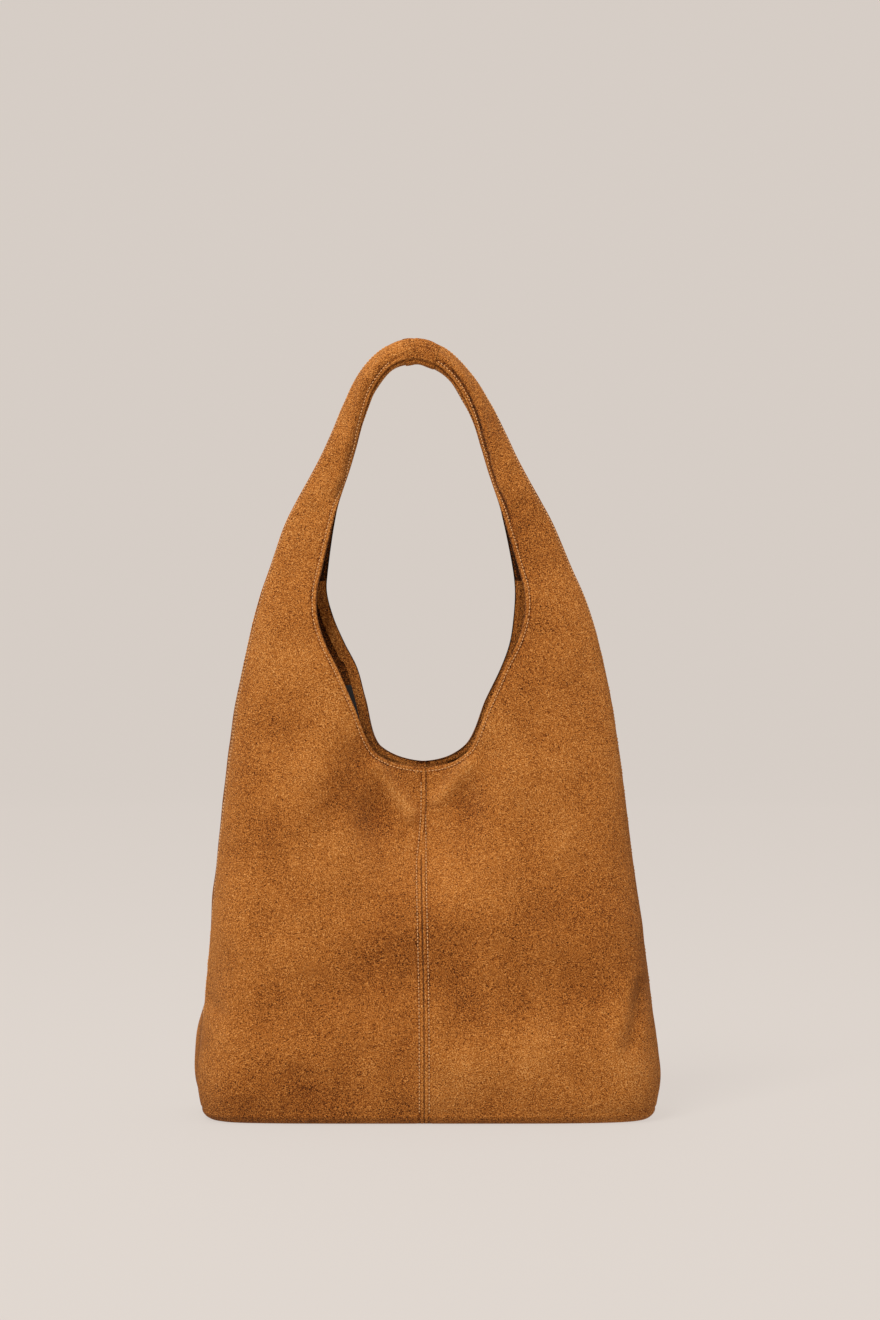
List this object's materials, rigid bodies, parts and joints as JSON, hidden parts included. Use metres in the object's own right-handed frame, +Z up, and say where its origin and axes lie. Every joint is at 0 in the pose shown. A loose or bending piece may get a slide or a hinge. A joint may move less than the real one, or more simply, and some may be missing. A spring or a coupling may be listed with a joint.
{
  "type": "hobo bag",
  "caption": "Slouchy suede hobo bag with a cut-out mouth, a one-piece arched shoulder strap, a magnetic snap, a lining and an inner zip pocket",
  "frame": {"origin": "centre of the base's underside, on the surface that the bag stands on", "axes": "+Z up, the front faces -Y, +X to the right as seen from the front"},
  "size_m": [0.385, 0.1228, 0.645],
  "materials": {
    "suede": "napped cognac suede, matte, with light and dark brushed patches",
    "facing": "thin suede strip, matte",
    "lining": "black woven lining cloth",
    "board": "pressed bag board, matte",
    "zip_tape": "woven zip tape",
    "zip_coil": "nylon coil",
    "brass": "light antique brass plating",
    "magnet": "dark coated ring magnet",
    "washer": "thin steel backing washer"
  },
  "bodies": {
    "bag": {"front_panel_left": "suede", "front_panel_right": "suede", "back_panel_left": "suede", "back_panel_right": "suede", "base_panel": "suede", "base_board": "board", "lining_front": "lining", "lining_back": "lining", "lining_base": "lining", "pocket_bag": "lining", "pocket_welt": "facing", "zip_tape_upper": "zip_tape", "zip_tape_lower": "zip_tape", "zip_coil_upper": "zip_coil", "zip_coil_lower": "zip_coil", "zip_stops": "brass"},
    "front_mouth": {"front_mouth_left": "suede", "front_mouth_right": "suede", "mouth_facing_front": "facing", "snap_socket": "brass", "snap_magnet": "magnet", "snap_washer_front": "washer"},
    "back_mouth": {"back_mouth_left": "suede", "back_mouth_right": "suede", "mouth_facing_back": "facing", "snap_stud": "brass", "snap_washer_back": "washer"},
    "strap": {"strap_front_left": "suede", "strap_front_right": "suede", "strap_back_left": "suede", "strap_back_right": "suede", "strap_join_patch": "suede"},
    "zip_slider": {"zip_slider": "brass"},
    "zip_pull": {"zip_pull": "brass"}
  },
  "joints": [
    {"name": "strap_fold", "type": "hinge", "parent": "bag", "child": "strap", "pos_m": [0, 0, 0.455], "axis": [1, 0, 0], "range_deg": [-95, 95]},
    {"name": "front_mouth_open", "type": "hinge", "parent": "bag", "child": "front_mouth", "pos_m": [0, -0.0512, 0.15], "axis": [1, 0, 0], "range_deg": [0, 12]},
    {"name": "back_mouth_open", "type": "hinge", "parent": "bag", "child": "back_mouth", "pos_m": [0, 0.0512, 0.15], "axis": [-1, 0, 0], "range_deg": [0, 12]},
    {"name": "zip_slide", "type": "slide", "parent": "bag", "child": "zip_slider", "axis": [1, 0, 0], "range_m": [0, 0.13]},
    {"name": "zip_pull_swing", "type": "hinge", "parent": "zip_slider", "child": "zip_pull", "pos_m": [-0.066, 0.04038, 0.1376], "axis": [0, 0.1282, -0.9917], "range_deg": [0, 165]}
  ],
  "couplings": [
    {"joint": "back_mouth_open", "follows": "front_mouth_open", "ratio": 1}
  ]
}
